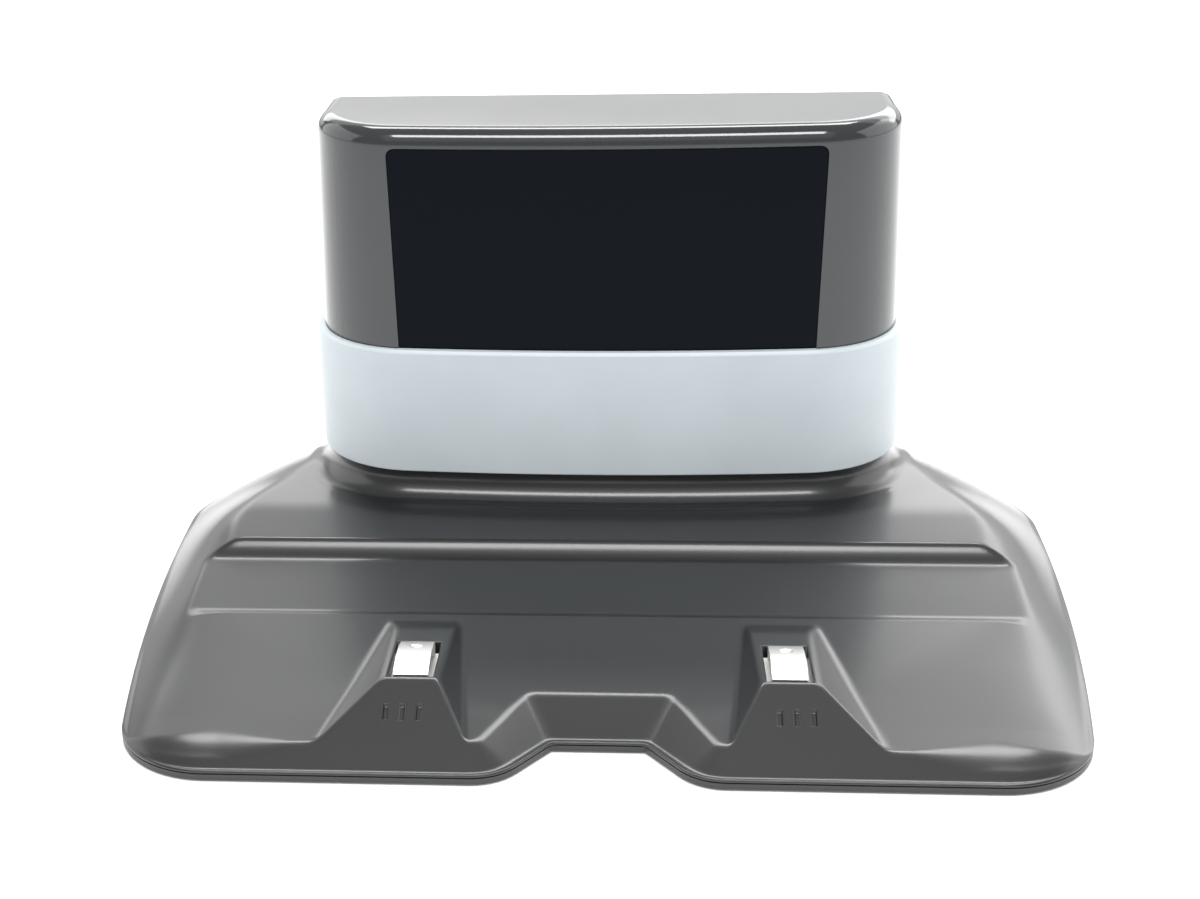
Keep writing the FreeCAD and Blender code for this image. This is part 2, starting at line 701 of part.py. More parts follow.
# Signal board with its emitters, hood and status lamp, upright behind the window
def signal_board():
    board = block(-SIGNAL_HALF, SIGNAL_HALF, SIGNAL_D, SIGNAL_D + BOARD_T, SIGNAL_Z0, SIGNAL_Z1)
    for x, z in signal_posts():
        board = board.cut(cylinder(SCREW_R + HOLE_GAP, 3 * BOARD_T, x, SIGNAL_D - BOARD_T, z, V(0, 1, 0)))
    return solid_of(board)


def emitter_z():
    return (SIGNAL_Z0 + SIGNAL_Z1) / 2


def emitter(x):
    z = emitter_z()
    body = cylinder(EMITTER_R, EMITTER_L - EMITTER_R, x, SIGNAL_D, z, V(0, -1, 0))
    dome = Part.makeSphere(EMITTER_R, at(x, SIGNAL_D - EMITTER_L + EMITTER_R, z))
    flange = cylinder(EMITTER_R + 0.4, 1.0, x, SIGNAL_D, z, V(0, -1, 0))
    return solid_of(body.fuse(dome).fuse(flange))


def emitter_hood():
    z = emitter_z()
    hood = block(-HOOD_HALF, HOOD_HALF, SIGNAL_D - HOOD_L, SIGNAL_D, z - HOOD_HALF_H, z + HOOD_HALF_H)
    for i in (-1, 0, 1):
        x = i * EMITTER_PITCH
        cone = Part.makeCone(EMITTER_R + 6, EMITTER_R + 0.8, HOOD_L, at(x, SIGNAL_D - HOOD_L, z), V(0, 1, 0))
        hood = hood.cut(cone)
    return solid_of(hood)


def status_lamp():
    z = SIGNAL_Z0 + LAMP_RISE
    return block(-LAMP_HALF, LAMP_HALF, SIGNAL_D - LAMP_HALF, SIGNAL_D, z, z + 2 * LAMP_HALF)


# Main board with the power inlet, on four posts of the bottom plate
def main_board():
    board = block(-MAIN_HALF, MAIN_HALF, MAIN_FRONT, MAIN_BACK, MAIN_Z, MAIN_Z + BOARD_T)
    for x, d in board_posts():
        board = board.cut(cylinder(SCREW_R + HOLE_GAP, 3 * BOARD_T, x, d, MAIN_Z - BOARD_T))
    return solid_of(board)


def dc_jack():
    z0 = MAIN_Z + BOARD_T
    end = DEPTH - SIDE_WALL
    body = block(JACK_X - JACK_HALF, JACK_X + JACK_HALF, end - JACK_L, end, z0, z0 + JACK_H)
    bore = cylinder(JACK_BORE_R, JACK_BORE_L + 1, JACK_X, end - JACK_BORE_L, jack_z(), V(0, 1, 0))
    return solid_of(body.cut(bore))


def dc_pin():
    end = DEPTH - SIDE_WALL
    pin = cylinder(JACK_PIN_R, JACK_BORE_L - 1, JACK_X, end - JACK_BORE_L, jack_z(), V(0, 1, 0))
    return pin


# Sprung charging contact: bowed strip on two legs over a wider stop plate
def flange_top():
    return mound_top(CONTACT_BACK + FLANGE_END) - WALL - FLANGE_CLEAR


def contact(s):
    x = s * MOUND_X
    t = CONTACT_T
    f = CONTACT_FRONT
    b = CONTACT_BACK
    z = CONTACT_END_Z
    low = flange_top()
    mid = (f + b) / 2
    left = x - CONTACT_HALF

    def p(d, h):
        return at(left, d, h)

    edges = [line(p(f, low), p(f, z)), arc(p(f, z), p(mid, z + CONTACT_CROWN), p(b, z)),
             line(p(b, z), p(b, low)), line(p(b, low), p(b - t, low)),
             line(p(b - t, low), p(b - t, z - t / 2)),
             arc(p(b - t, z - t / 2), p(mid, z + CONTACT_CROWN - t), p(f + t, z - t / 2)),
             line(p(f + t, z - t / 2), p(f + t, low)), line(p(f + t, low), p(f, low))]
    strip = Part.Face(Part.Wire(edges)).extrude(V(2 * CONTACT_HALF, 0, 0))
    plate = block(x - FLANGE_HALF, x + FLANGE_HALF, f - FLANGE_END, b + FLANGE_END, low - FLANGE_T, low)
    dimple = Part.makeSphere(3.0, at(x, b - 4.5, z + 3.0 + CONTACT_CROWN * 0.45))
    return solid_of(strip.cut(dimple).fuse(plate))


def contact_holder(s):
    x = s * MOUND_X
    g = HOLDER_GAP
    w = HOLDER_WALL
    half = FLANGE_HALF + g
    f = CONTACT_FRONT - FLANGE_END - g
    b = CONTACT_BACK + FLANGE_END + g
    cup = block(x - half - w, x + half + w, f - w, b + w, COVER_Z, HOLDER_TOP_Z)
    return cup.cut(block(x - half, x + half, f, b, COVER_Z + HOLDER_FLOOR, HOLDER_TOP_Z + 5))


def contact_spring(s):
    x = s * MOUND_X
    z0 = COVER_Z + HOLDER_FLOOR
    z1 = flange_top() - FLANGE_T
    r = SPRING_WIRE / 2
    height = z1 - z0 - SPRING_WIRE
    helix = Part.makeHelix(height / SPRING_TURNS, height, SPRING_R)
    ring = Part.Wire(Part.makeCircle(r, V(SPRING_R, 0, 0), V(0, 1, 0)))
    coil = Part.Wire(helix.Edges).makePipeShell([ring], True, True)
    coil.translate(at(x, (CONTACT_FRONT + CONTACT_BACK) / 2, z0 + r))
    return solid_of(coil)


# Internal leads: round cables along the bottom plate, and the flat link between the boards
def cable(points, r):
    run = None
    for a, b in zip(points, points[1:]):
        step = b - a
        piece = Part.makeCylinder(r, step.Length, a, step)
        run = piece if run is None else run.fuse(piece).fuse(Part.makeSphere(r, a))
    return solid_of(run)


def lead(s):
    z = COVER_Z + LEAD_R
    back = CONTACT_BACK + FLANGE_END + HOLDER_GAP + HOLDER_WALL
    x = s * MOUND_X
    xe = s * LEAD_END_X
    pts = [at(x, back, z), at(x, LEAD_TURN, z), at(xe, LEAD_UNDER, z), at(xe, LEAD_END, z),
           at(xe, LEAD_END, MAIN_Z)]
    return cable(pts, LEAD_R)


def board_link():
    low = MAIN_Z + BOARD_T + SOCKET_L
    high = SIGNAL_Z0 + LINK_RISE
    end = SIGNAL_D + BOARD_T + SOCKET_L
    t = LINK_T / 2
    return across([(LINK_D - t, low), (LINK_D + t, low), (LINK_D + t, high + t),
                   (end, high + t), (end, high - t), (LINK_D - t, high - t)], LINK_HALF)


def socket_low():
    z = MAIN_Z + BOARD_T
    return block(-SOCKET_HALF, SOCKET_HALF, LINK_D - SOCKET_HALF_T, LINK_D + SOCKET_HALF_T, z, z + SOCKET_L)


def socket_high():
    d = SIGNAL_D + BOARD_T
    z = SIGNAL_Z0 + LINK_RISE
    return block(-SOCKET_HALF, SOCKET_HALF, d, d + SOCKET_L, z - SOCKET_HALF_T, z + SOCKET_HALF_T)


save(base_cover(), "base_cover")
save(base_plate(), "base_plate")
for name, x, d in foot_places():
    save(cylinder(FOOT_R, FOOT_SINK + PLATE_BOTTOM_Z, x, d, 0), "foot_" + name)
save_group((screw(x, d, PLATE_BOTTOM_Z + HEAD_H, V(0, 0, 1), BASE_SCREW_L) for x, d in screw_places()),
           "base_screws")
save(trim_band(), "trim_band")
save(tower_shell(), "tower_shell")
save(ir_window(), "ir_window")
save(rear_cover(), "rear_cover")
save_group((screw(s * boss_x(z), DEPTH - HEAD_H, z, V(0, -1, 0), REAR_SCREW_L)
            for s, z in rear_boss_places()), "rear_screws")
save(signal_board(), "signal_board")
save(emitter_hood(), "emitter_hood")
for i, side in ((-1, "left"), (0, "middle"), (1, "right")):
    save(emitter(i * EMITTER_PITCH), "emitter_" + side)
save(status_lamp(), "status_lamp")
save_group((screw(x, SIGNAL_D, z, V(0, 1, 0), SIGNAL_SCREW_L) for x, z in signal_posts()), "signal_screws")
save(main_board(), "main_board")
save_group((screw(x, d, MAIN_Z + BOARD_T, V(0, 0, -1), MAIN_SCREW_L) for x, d in board_posts()),
           "main_screws")
save(dc_jack(), "dc_jack")
save(dc_pin(), "dc_pin")
save(board_link(), "board_link")
save(socket_low(), "link_socket_low")
save(socket_high(), "link_socket_high")
for s, side in ((-1, "left"), (1, "right")):
    save(contact(s), "contact_" + side)
    save(contact_holder(s), "contact_holder_" + side)
    save(contact_spring(s), "contact_spring_" + side)
    save(lead(s), "lead_" + side)
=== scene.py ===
import math

import bpy
import numpy as np
from mathutils import Matrix, Vector


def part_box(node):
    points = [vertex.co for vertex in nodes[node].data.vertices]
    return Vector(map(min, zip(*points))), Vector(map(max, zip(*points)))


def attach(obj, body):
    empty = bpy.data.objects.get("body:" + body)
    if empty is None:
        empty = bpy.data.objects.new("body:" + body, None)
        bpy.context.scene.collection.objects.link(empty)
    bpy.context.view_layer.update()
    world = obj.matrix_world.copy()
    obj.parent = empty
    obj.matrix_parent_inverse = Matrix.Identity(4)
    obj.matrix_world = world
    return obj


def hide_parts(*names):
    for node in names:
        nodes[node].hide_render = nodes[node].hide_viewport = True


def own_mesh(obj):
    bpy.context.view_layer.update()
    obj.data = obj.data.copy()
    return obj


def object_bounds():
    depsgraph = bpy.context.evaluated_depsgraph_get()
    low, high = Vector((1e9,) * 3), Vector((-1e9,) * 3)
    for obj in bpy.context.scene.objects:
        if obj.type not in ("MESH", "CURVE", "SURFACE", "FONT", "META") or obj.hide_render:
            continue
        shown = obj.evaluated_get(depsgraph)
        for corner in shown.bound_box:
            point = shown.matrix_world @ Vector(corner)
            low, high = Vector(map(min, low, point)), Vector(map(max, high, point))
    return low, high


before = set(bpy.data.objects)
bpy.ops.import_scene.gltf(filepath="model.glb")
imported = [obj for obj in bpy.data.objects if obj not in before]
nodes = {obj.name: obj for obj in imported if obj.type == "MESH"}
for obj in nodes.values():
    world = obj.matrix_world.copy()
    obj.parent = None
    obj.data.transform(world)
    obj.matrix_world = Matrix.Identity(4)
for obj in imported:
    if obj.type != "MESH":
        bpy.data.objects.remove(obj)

cad_low, cad_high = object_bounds()


# Bottom plate: a flat moulding in black polystyrene that closes the base from below.
# It carries the feet and the board posts, and screws hold it to the cover.
def grain_group():
    """Moulding grain: a fine noise makes the height, and a slow noise drifts tone and gloss."""
    group = bpy.data.node_groups.new("moulding_grain", "ShaderNodeTree")
    face = group.interface
    inputs = (("Grain Size", "Float"), ("Tone", "Color"), ("Gloss", "Float"), ("Drift", "Float"))
    outputs = (("Color", "Color"), ("Roughness", "Float"), ("Height", "Float"))
    for way, sockets in (("INPUT", inputs), ("OUTPUT", outputs)):
        for name, kind in sockets:
            face.new_socket(name, in_out=way, socket_type="NodeSocket" + kind)
    n, l = group.nodes, group.links
    ins, outs = n.new("NodeGroupInput"), n.new("NodeGroupOutput")
    place = n.new("ShaderNodeTexCoord")
    fine = n.new("ShaderNodeTexNoise")
    fine.inputs["Detail"].default_value = 2.0
    l.new(place.outputs["Object"], fine.inputs["Vector"])
    l.new(ins.outputs["Grain Size"], fine.inputs["Scale"])
    slow = n.new("ShaderNodeTexNoise")
    slow.inputs["Scale"].default_value = 34.0
    slow.inputs["Detail"].default_value = 4.0
    l.new(place.outputs["Object"], slow.inputs["Vector"])
    swing = n.new("ShaderNodeMath")
    swing.operation = "MULTIPLY_ADD"
    l.new(slow.outputs["Fac"], swing.inputs[0])
    l.new(ins.outputs["Drift"], swing.inputs[1])
    l.new(ins.outputs["Gloss"], swing.inputs[2])
    l.new(swing.outputs[0], outs.inputs["Roughness"])
    tint = n.new("ShaderNodeMix")
    tint.data_type = "RGBA"
    tint.blend_type = "MULTIPLY"
    tint.inputs[0].default_value = 0.18
    l.new(ins.outputs["Tone"], tint.inputs[6])
    l.new(slow.outputs["Fac"], tint.inputs[7])
    l.new(tint.outputs[2], outs.inputs["Color"])
    l.new(fine.outputs["Fac"], outs.inputs["Height"])
    return group


moulding_grain = grain_group()


def plastic(name, tone, gloss, drift, grain_size, grain_depth, shine=0.5):
    """Moulded plastic: the grain group drives tone, gloss and a fine bump."""
    made = bpy.data.materials.new(name)
    made.use_nodes = True
    n, l = made.node_tree.nodes, made.node_tree.links
    shader = n["Principled BSDF"]
    shader.inputs["Specular IOR Level"].default_value = shine
    grain = n.new("ShaderNodeGroup")
    grain.node_tree = moulding_grain
    grain.inputs["Grain Size"].default_value = grain_size
    grain.inputs["Tone"].default_value = (*tone, 1.0)
    grain.inputs["Gloss"].default_value = gloss
    grain.inputs["Drift"].default_value = drift
    l.new(grain.outputs["Color"], shader.inputs["Base Color"])
    l.new(grain.outputs["Roughness"], shader.inputs["Roughness"])
    bump = n.new("ShaderNodeBump")
    bump.inputs["Strength"].default_value = 1.0
    bump.inputs["Distance"].default_value = grain_depth
    l.new(grain.outputs["Height"], bump.inputs["Height"])
    l.new(bump.outputs["Normal"], shader.inputs["Normal"])
    return made


def dress(node, material, angle=32.0):
    """Puts a material on a CAD node and shades its round faces smoothly across welded triangles."""
    piece = nodes[node]
    piece.data.materials.clear()
    piece.data.materials.append(material)
    piece.data.polygons.foreach_set("use_smooth", np.ones(len(piece.data.polygons), bool))
    weld = piece.modifiers.new("weld", "WELD")
    weld.merge_threshold = 2e-6
    split = piece.modifiers.new("corners", "EDGE_SPLIT")
    split.split_angle = math.radians(angle)
    even = piece.modifiers.new("even", "WEIGHTED_NORMAL")
    even.keep_sharp = True
    return piece


plate_black = plastic("plate_black", (0.030, 0.031, 0.033), 0.42, 0.16, 1900.0, 2.5e-5)
dress("base_plate", plate_black)

# Rubber feet: four discs glued into round recesses of the bottom plate.
# Soft black rubber with a dull, slightly pitted face.
foot_rubber = plastic("foot_rubber", (0.022, 0.022, 0.022), 0.75, 0.15, 1200.0, 4e-5, 0.3)
for end in ("front_left", "front_right", "rear_left", "rear_right"):
    dress("foot_" + end, foot_rubber)

# Base cover: one black injection moulding with ramp, trough, notch, contact mounds and the tower's foot.
# Its skin is a height z over the plan, in millimetres, with x across and d back from the front edge.
# Crossing faces are rounded into each other, so that floors, bevels and skirts run softly together.
HALF_W, DEEP, TOP_Z = (round(1000 * v, 3) for v in (cad_high[0], cad_high[1] - cad_low[1], cad_high[2]))
SIDE_R = 794.76
FRONT_R, FRONT_X, FRONT_END = 27.5, 102.0, 22.97
BACK_R = 33.0
BACK_X, BACK_D = HALF_W - BACK_R, DEEP - BACK_R
RIM_Z, RIM_R = 2.6, 0.35
RAMP_Z, RAMP_RISE = 7.3, 0.069
TROUGH_D, TROUGH_DROP = 70.5, 1.7
STEP_D, STEP_Z = 107.9, 18.2
UPPER_Z = 20.3
SKIRT_PULL = 1.08
BEVEL = 0.545
NOTCH_X, NOTCH_D, NOTCH_STEEP = 12.3, 16.7, 1.15
NOTCH_SIDE_X, NOTCH_SIDE_D = 0.787, 0.617
MOUND_TIP_D = 26.0
SLOT_X, SLOT_D, SLOT_R = 50.4, 38.1, 0.45
SLOT_HALF, SLOT_LONG = 6.1, 11.2
RIBS = (47.1, 51.5, 55.9)
RIB_HALF, RIB_D, RIB_LONG, RIB_DEEP, RIB_EDGE = 0.75, 16.8, 2.16, 0.8, 0.2


def low_round(a, b, k):
    """Lower of two heights with a rounded crossing: min(a, b) - max(k - |a - b|, 0)^2 / 4k."""
    return np.minimum(a, b) - np.maximum(k - np.abs(a - b), 0) ** 2 / (4 * k)


def high_round(a, b, k):
    """Higher of two heights with a rounded crossing."""
    return -low_round(-a, -b, k)


def spline(at, knots, values):
    """Natural cubic through the knots: its second derivatives solve one tridiagonal system."""
    h = np.diff(knots)
    m = np.zeros((len(knots), len(knots)))
    m[0, 0] = m[-1, -1] = 1.0
    i = np.arange(1, len(knots) - 1)
    m[i, i - 1], m[i, i], m[i, i + 1] = h[:-1], 2 * (h[:-1] + h[1:]), h[1:]
    turn = np.zeros(len(knots))
    turn[1:-1] = 6 * np.diff(np.diff(values) / h)
    s = np.linalg.solve(m, turn)
    j = np.clip(np.searchsorted(knots, at) - 1, 0, len(h) - 1)
    a, b = knots[j + 1] - at, at - knots[j]
    return ((s[j] * a ** 3 + s[j + 1] * b ** 3) / (6 * h[j])
            + (values[j] / h[j] - s[j] * h[j] / 6) * a
            + (values[j + 1] / h[j] - s[j + 1] * h[j] / 6) * b)


def side_half(d):
    """Half width on the long side arc: x = w - R + sqrt(R^2 - (b - d)^2), b where the back corner starts."""
    return HALF_W - SIDE_R + np.sqrt(SIDE_R ** 2 - (BACK_D - np.minimum(d, BACK_D)) ** 2)


def half_width(d):
    """Half width of the plan: quarter rounds at the corners, the side arc between them."""
    front = FRONT_X + np.sqrt(np.maximum(FRONT_R ** 2 - (FRONT_R - np.clip(d, 0, FRONT_R)) ** 2, 0))
    back = BACK_X + np.sqrt(np.maximum(BACK_R ** 2 - np.clip(d - BACK_D, 0, BACK_R) ** 2, 0))
    return np.where(d < FRONT_END, front, np.where(d < BACK_D, side_half(d), back))


def ramp(d):
    """Height of the front floor."""
    return RAMP_Z + RAMP_RISE * d


def floors(d):
    """Side view of the floors: ramp, hollow of the trough, riser and upper floor."""
    fall = ramp(TROUGH_D) - (d - TROUGH_D + 0.8)
    bottom = ramp(TROUGH_D) - TROUGH_DROP + 0.1104 * (d - TROUGH_D - TROUGH_DROP)
    hollow = high_round(fall, bottom, 5.0)
    riser = STEP_Z + 1.059 * (d - STEP_D)
    upper = low_round(STEP_Z + 0.105 * (d - STEP_D), UPPER_Z + 0 * d, 0.5)
    behind = low_round(high_round(hollow, riser, 2.8), upper, 1.0)
    return np.where(d < 80, low_round(ramp(d), hollow, 0.25), behind)


def skirt(x, d):
    """Swelling side: at each depth a cubic from the rim up to the floor, then straight on inwards.

    With u the share of the way in, u and the rise are cubics of t with end slopes steep and flat.
    """
    share = np.array([-0.02, 0.085, 0.235, 0.377, 0.577, 0.678, 0.733, 0.802, 0.882, 0.952, 1.005]) * DEEP
    meet = spline(d, share, np.array([97, 98.0, 105.8, 114.5, 113.5, 114, 111, 104, 98, 94, 92.0]))
    top = spline(d, share, np.array([7.1, 8.4, 10.35, 12.16, 18.2, 20.3, 20.6, 20.8, 20.8, 19.8, 18.3]))
    steep = spline(d, share, np.array([2.6, 2.4, 1.7, 1.4, 1.3, 1.3, 1.4, 1.45, 1.4, 1.3, 1.3]))
    flat = spline(d, share, np.array([0.15, 0.15, 0.3, 0.4, 0.45, 0.45, 0.45, 0.45, 0.45, 0.45, 0.45]))
    start = np.where(d < BACK_D, side_half(d), half_width(d))
    u = (start - np.abs(x)) / (start - meet)
    t = np.linspace(0, 1, 400)
    t = np.interp(u, SKIRT_PULL * t * (1 - t) ** 2 + (3 - SKIRT_PULL) * t ** 2 * (1 - t) + t ** 3, t)
    rise = SKIRT_PULL * steep * t * (1 - t) ** 2 + (3 - SKIRT_PULL * flat) * t ** 2 * (1 - t) + t ** 3
    return RIM_Z + (top - RIM_Z) * (rise + np.maximum(u - 1, 0) * flat)


def edge_way(x, d):
    """Way in from the front edge, the notch and the front corners, which the bevel climbs."""
    x = np.abs(x)
    notch_side = NOTCH_SIDE_X * (x - NOTCH_X) + NOTCH_SIDE_D * (d - NOTCH_D)
    notch = high_round(d - NOTCH_D, notch_side, 1.6) / NOTCH_STEEP
    way = low_round(d, notch, np.interp(np.minimum(d, notch), [0, 10], [6.0, 1.5]))
    rho = np.hypot(x - FRONT_X, FRONT_R - d)
    turn = (FRONT_R - d) / np.maximum(rho, 1e-6)
    corner = np.where(turn > 0.17, np.maximum(FRONT_R - rho, 0) / np.maximum(turn, 0.17) ** 2, 60.0)
    return np.where(x > FRONT_X, corner, way)


def plane(p, q, r, x, d):
    """Height of the plane through three points."""
    p, q, r = np.array(p), np.array(q), np.array(r)
    n = np.cross(q - p, r - p)
    return p[2] - (n[0] * (x - p[0]) + n[1] * (d - p[1])) / n[2]


def base_height(x, d):
    """Base without the tower's foot: floors and skirts, mounds laid on, bevel cut round the front.

    The rim gets a small round ledge, each mound three short grooves and a rounded contact slot.
    """
    soft = np.interp(d, [20, 45, 71, 75], [4.0, 2.6, 1.4, 0.5])
    body = low_round(floors(d), skirt(x, d), soft)
    a = np.abs(x)
    tip = RIM_Z + BEVEL * MOUND_TIP_D
    outer = plane((72.3, 9.87, 7.98), (57.9, MOUND_TIP_D, tip), (60.8, 66.0, 11.85), a, d)
    inner = plane((34.7, 9.87, 7.98), (42.9, MOUND_TIP_D, tip), (40.0, 66.0, 11.85), a, d)
    back = low_round(tip - 0.0802 * (d - MOUND_TIP_D), 14.04 - 0.367 * (d - 60.03), 1.2)
    mound = low_round(low_round(outer, inner, 0.8), back, 1.1)
    body = high_round(body, mound, 1.3)
    bevel = RIM_Z + BEVEL * edge_way(x, d)
    soft = np.interp(a, [80, 100], [0.5, 3.5])
    soft = np.minimum(soft, 0.05 + 1.2 * np.maximum(np.minimum(body, bevel) - RIM_Z, 0))
    z = low_round(body, bevel, soft)
    start = np.where(d < BACK_D, side_half(d), half_width(d))
    rim = np.clip(np.minimum(edge_way(x, d), start - a), 0, RIM_R)
    z = high_round(z, RIM_Z + RIM_R + np.sqrt(RIM_R ** 2 - (RIM_R - rim) ** 2), 0.25)
    for rib in RIBS:
        across = np.clip((RIB_HALF - np.abs(a - rib)) / RIB_EDGE, 0, 1)
        z = z - RIB_DEEP * across * np.clip((RIB_LONG - np.abs(d - RIB_D)) / RIB_EDGE, 0, 1)
    out = np.maximum(np.abs(a - SLOT_X) - SLOT_HALF, np.abs(d - SLOT_D) - SLOT_LONG)
    return z - SLOT_R + np.sqrt(SLOT_R ** 2 - (SLOT_R - np.clip(out, 0, SLOT_R)) ** 2)


FOOT_BOW, FOOT_R, FOOT_HALF, FOOT_FRONT = 778.3, 32.8, 93.3, 134.47
FOOT_CX = FOOT_HALF - FOOT_R
FOOT_REACH = math.sqrt((FOOT_BOW - FOOT_R) ** 2 - FOOT_CX ** 2)
FOOT_CD = FOOT_FRONT + FOOT_BOW - FOOT_REACH
FOOT_TURN = math.atan2(FOOT_CX, FOOT_REACH)
NECK_Z, FLARE, FLARE_END = 27.2, 6.9, 13.6
BACK_SINK, SINK_D = 3.9, 160.0


def foot_way(x, d):
    """Distance outwards from the tower's neck: bowed front, round corners, straight sides."""
    a = np.abs(x)
    turn = np.arctan2(a, FOOT_FRONT + FOOT_BOW - d)
    front = np.hypot(a, FOOT_FRONT + FOOT_BOW - d) - FOOT_BOW
    corner = np.hypot(a - FOOT_CX, d - FOOT_CD) - FOOT_R
    return np.where(turn < FOOT_TURN, front, np.where(d > FOOT_CD, a - FOOT_HALF, corner))


def with_foot(x, d, q):
    """Base with the concave flare round the neck: z = neck - sqrt(r^2 - (r - q)^2).

    Past its radius the flare runs out below the floor, and towards the back it sinks.
    """
    s = np.clip(FLARE - q, 0, FLARE)
    fall = np.interp(d, [150, DEEP], [0.12, 0.40])
    sink = BACK_SINK * np.clip((d - SINK_D) / (DEEP - SINK_D), 0, 1) ** 2 * (1 - (s / FLARE) ** 2)
    flare = NECK_Z - np.sqrt(FLARE ** 2 - s ** 2) - fall * np.maximum(q - FLARE, 0) ** 2 - sink
    ground = base_height(x, d)
    return high_round(ground, flare, np.clip(UPPER_Z - ground, 0.3, 3.0))


def lay(x, d, z, keep=None, wrap=False):
    """Points and quads of a grid in millimetres; keep marks the cells that stay, wrap joins its two ends."""
    rows, cols = x.shape
    k = np.arange(rows * cols).reshape(rows, cols)
    if wrap:
        k = np.vstack([k, k[:1]])
    quads = np.stack([k[:-1, :-1], k[:-1, 1:], k[1:, 1:], k[1:, :-1]], -1)
    quads = quads.reshape(-1, 4) if keep is None else quads[keep]
    used = np.unique(quads)
    points = np.stack([x, d - DEEP / 2, z], -1).reshape(-1, 3)[used] * 0.001
    return points, np.searchsorted(used, quads)


def join(name, parts, material):
    """One smooth piece from several grids."""
    first = np.cumsum([0] + [len(p) for p, _ in parts[:-1]])
    points = np.concatenate([p for p, _ in parts])
    quads = np.concatenate([q + k for (_, q), k in zip(parts, first)])
    mesh = bpy.data.meshes.new(name)
    mesh.from_pydata(points.tolist(), [], quads.tolist())
    mesh.polygons.foreach_set("use_smooth", np.ones(len(mesh.polygons), bool))
    mesh.materials.append(material)
    piece = bpy.data.objects.new(name, mesh)
    bpy.context.scene.collection.objects.link(piece)
    return piece


def cells(mask):
    """Cells whose four corners all fulfil a mask."""
    return mask[:-1, :-1] & mask[:-1, 1:] & mask[1:, 1:] & mask[1:, :-1]


# Skin of the cover: a grid that follows the plan's edge, open over the contact slots and the tower's neck.
# Lines lie close together where slots, grooves, trough and riser turn sharply.
GRID_X = 80.0
slot_steps = np.array([0.0, 0.1, 0.25, SLOT_R])
rib_steps = np.array([-RIB_HALF, RIB_EDGE - RIB_HALF, RIB_HALF - RIB_EDGE, RIB_HALF])
groove_d = RIB_D + np.array([-RIB_LONG, RIB_EDGE - RIB_LONG, RIB_LONG - RIB_EDGE, RIB_LONG])
inner_x = np.unique(np.round(np.concatenate([
    np.linspace(0, 34, 61), np.arange(34, 73, 0.6), np.linspace(73, GRID_X, 7),
    SLOT_X - SLOT_HALF - slot_steps, SLOT_X + SLOT_HALF + slot_steps, *[rib + rib_steps for rib in RIBS]]), 3))
outer_s = 1 - (1 - np.linspace(0, 1, 40)[1:]) ** 1.25
rows_d = np.unique(np.round(np.concatenate([
    FRONT_R * (1 - np.cos(np.radians(np.linspace(0, 80, 27)))), np.arange(9, 28, 0.5), np.arange(28, 70, 0.9),
    SLOT_D - SLOT_LONG - slot_steps, SLOT_D + SLOT_LONG + slot_steps, groove_d,
    np.linspace(69.9, 71, 8), np.linspace(71, 77, 14), np.linspace(77, 102, 16), np.linspace(102, 107, 12),
    np.linspace(107, 108.8, 9), np.linspace(109, BACK_D, 34),
    BACK_D + BACK_R * np.sin(np.radians(np.linspace(0, 90, 24)))]), 3))
span = half_width(rows_d)[:, None] - GRID_X
right = np.concatenate([np.repeat(inner_x[None], len(rows_d), 0), GRID_X + span * outer_s[None]], 1)
plan_x = np.concatenate([-right[:, :0:-1], right], 1)

# Front line of the grid: halving finds the depth at which the notch starts, and the rows spread out behind it.
low_d, high_d = np.zeros_like(plan_x[0]), np.full_like(plan_x[0], NOTCH_D)
for _ in range(40):
    mid = (low_d + high_d) / 2
    ahead = edge_way(np.clip(plan_x[0], -60, 60), mid) < 0
    low_d, high_d = np.where(ahead, mid, low_d), np.where(ahead, high_d, mid)
notch_d = np.where(np.abs(plan_x[0]) < 40, high_d, 0.0)
plan_d = rows_d[:, None] + notch_d[None] * np.maximum(1 - rows_d[:, None] / 45.0, 0)
neck_q = foot_way(plan_x, plan_d)
plan_z = base_height(plan_x, plan_d) - 0.04 * np.clip(13.5 - neck_q, 0, 1)
in_slot = (np.abs(np.abs(plan_x) - SLOT_X) < SLOT_HALF + 0.001) & (np.abs(plan_d - SLOT_D) < SLOT_LONG + 0.001)
field = lay(plan_x, plan_d, plan_z, ~cells(in_slot) & ~cells(neck_q < 10.6))


def tower_line(half, front, corner, bow, pane=None):
    """Plan line round the tower, one column per profile point: bowed front, round corners, straight sides.

    Rows run from the left back over the front to the right back; pane is the half width of a window.
    """
    cx = half - corner
    reach = np.sqrt((bow - corner) ** 2 - cx ** 2)
    cd = front + bow - reach
    turn = np.arctan2(cx, reach)
    edge = turn + 0.06 if pane is None else np.arcsin((pane - cx) / corner)
    s = np.linspace(0, 1, 41)[:-1, None]
    t = np.linspace(0, 1, 5)[:-1, None]
    u = np.linspace(0, 1, 37)[:-1, None]
    v = np.linspace(0, 1, 21)[:, None]
    round_turn = np.concatenate([turn + (edge - turn) * t, edge + (math.pi / 2 - edge) * u])
    x = np.concatenate([bow * np.sin(turn * s), cx + corner * np.sin(round_turn), half + 0 * v])
    d = np.concatenate([front + bow - bow * np.cos(turn * s), cd - corner * np.cos(round_turn),
                        cd + (DEEP - cd) * v])
    return np.concatenate([-x[:0:-1], x]), np.concatenate([d[:0:-1], d])


